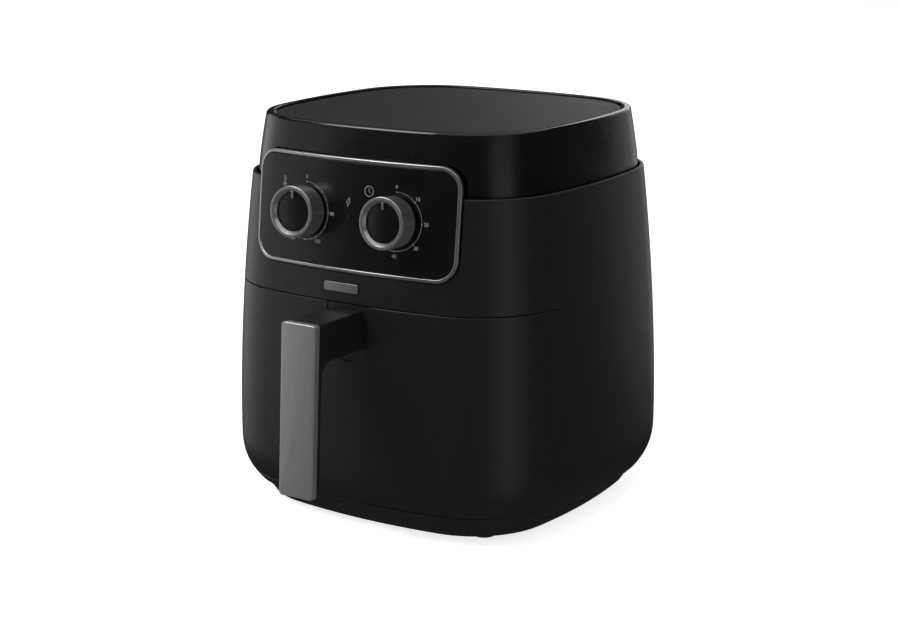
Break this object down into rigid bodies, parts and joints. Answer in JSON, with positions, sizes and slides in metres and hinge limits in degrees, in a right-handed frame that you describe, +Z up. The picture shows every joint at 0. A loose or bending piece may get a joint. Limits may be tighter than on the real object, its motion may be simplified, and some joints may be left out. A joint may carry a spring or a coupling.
{
  "type": "drawer air fryer",
  "caption": "Free-standing drawer air fryer: bowed matte housing under a gloss band, framed panel with rotary controls, pull-out drawer with a crisper tray.",
  "frame": {"origin": "centre of the bounding box's base, on the worktop: the box reaches from the handle to the cord gland", "axes": "+Z up; -Y towards the user (drawer and handle); +X to the right of someone who looks along +Y"},
  "size_m": [0.323, 0.3921, 0.338],
  "materials": {
    "matte_black": "fine matte moulded texture",
    "gloss_black": "polished",
    "cover_grey": "fine matte moulded texture",
    "base_black": "moulded",
    "satin_silver": "satin silver plating over plastic",
    "handle_silver": "brushed silver plating over plastic",
    "black_rubber": "moulded silicone rubber",
    "nonstick": "non-stick coating on steel",
    "sheet_steel": "pressed sheet",
    "aluminium_sheet": "pressed sheet",
    "element_sheath": "heat-darkened tube",
    "copper": "bare and enamelled copper",
    "brass": "turned",
    "amber_lens": "translucent lens",
    "white_plastic": "moulded"
  },
  "bodies": {
    "housing": {"lower_housing": "matte_black", "upper_housing": "gloss_black", "control_panel": "gloss_black", "top_cover": "cover_grey", "base_plate": "base_black", "rear_vent_grille": "base_black", "drawer_bay_frame": "base_black", "interlock_switch": "base_black", "thermal_cutout": "base_black", "panel_bezel": "satin_silver", "badge_plate": "satin_silver", "foot_front_left": "black_rubber", "foot_front_right": "black_rubber", "foot_rear_left": "black_rubber", "foot_rear_right": "black_rubber", "cord_gland": "black_rubber", "switch_bracket": "sheet_steel", "timer_movement": "sheet_steel", "chamber_liner": "sheet_steel", "ceiling_plate": "sheet_steel", "element_guard": "sheet_steel", "motor_stator": "sheet_steel", "motor_bracket": "sheet_steel", "drawer_rail_left": "aluminium_sheet", "drawer_rail_right": "aluminium_sheet", "heater_shroud": "aluminium_sheet", "exhaust_duct": "aluminium_sheet", "heating_element": "element_sheath", "thermostat_capillary": "copper", "motor_coil": "copper", "timer_bell": "brass", "indicator_lens": "amber_lens", "thermostat": "white_plastic", "terminal_block": "white_plastic"},
    "drawer": {"drawer_front": "matte_black", "drawer_back_frame": "base_black", "drawer_pan": "nonstick", "handle_frame": "matte_black", "handle_plate": "handle_silver", "handle_bracket": "sheet_steel", "handle_screw_left": "sheet_steel", "handle_screw_right": "sheet_steel"},
    "tray": {"crisper_tray": "nonstick", "tray_bumper_left": "black_rubber", "tray_bumper_right": "black_rubber", "tray_bumper_front": "black_rubber", "tray_bumper_rear": "black_rubber"},
    "temperature_dial": {"temperature_knob": "satin_silver", "temperature_knob_cap": "gloss_black", "temperature_shaft": "brass"},
    "timer_dial": {"timer_knob": "satin_silver", "timer_knob_cap": "gloss_black", "timer_shaft": "brass"},
    "fan_rotor": {"motor_shaft": "sheet_steel", "motor_rotor": "sheet_steel", "convection_fan": "aluminium_sheet", "cooling_fan": "base_black"},
    "plunger": {"interlock_plunger": "white_plastic"}
  },
  "joints": [
    {"name": "drawer_slide", "type": "slide", "parent": "housing", "child": "drawer", "axis": [0, -1, 0], "range_m": [0, 0.24]},
    {"name": "tray_lift", "type": "slide", "parent": "drawer", "child": "tray", "axis": [0, 0, 1], "range_m": [0, 0.13]},
    {"name": "temperature_turn", "type": "hinge", "parent": "housing", "child": "temperature_dial", "pos_m": [-0.0446, -0.11702, 0.2668], "axis": [0, 0.9963, -0.0864], "range_deg": [0, 270]},
    {"name": "timer_turn", "type": "hinge", "parent": "housing", "child": "timer_dial", "pos_m": [0.0446, -0.11702, 0.2668], "axis": [0, 0.9963, -0.0864], "range_deg": [0, 270]},
    {"name": "fan_spin", "type": "hinge", "parent": "housing", "child": "fan_rotor", "pos_m": [0, 0.01706, 0.263], "axis": [0, 0, 1], "continuous": true},
    {"name": "plunger_press", "type": "slide", "parent": "housing", "child": "plunger", "axis": [0, 1, 0], "range_m": [0, 0.002], "stiffness_N_per_m": 200}
  ]
}
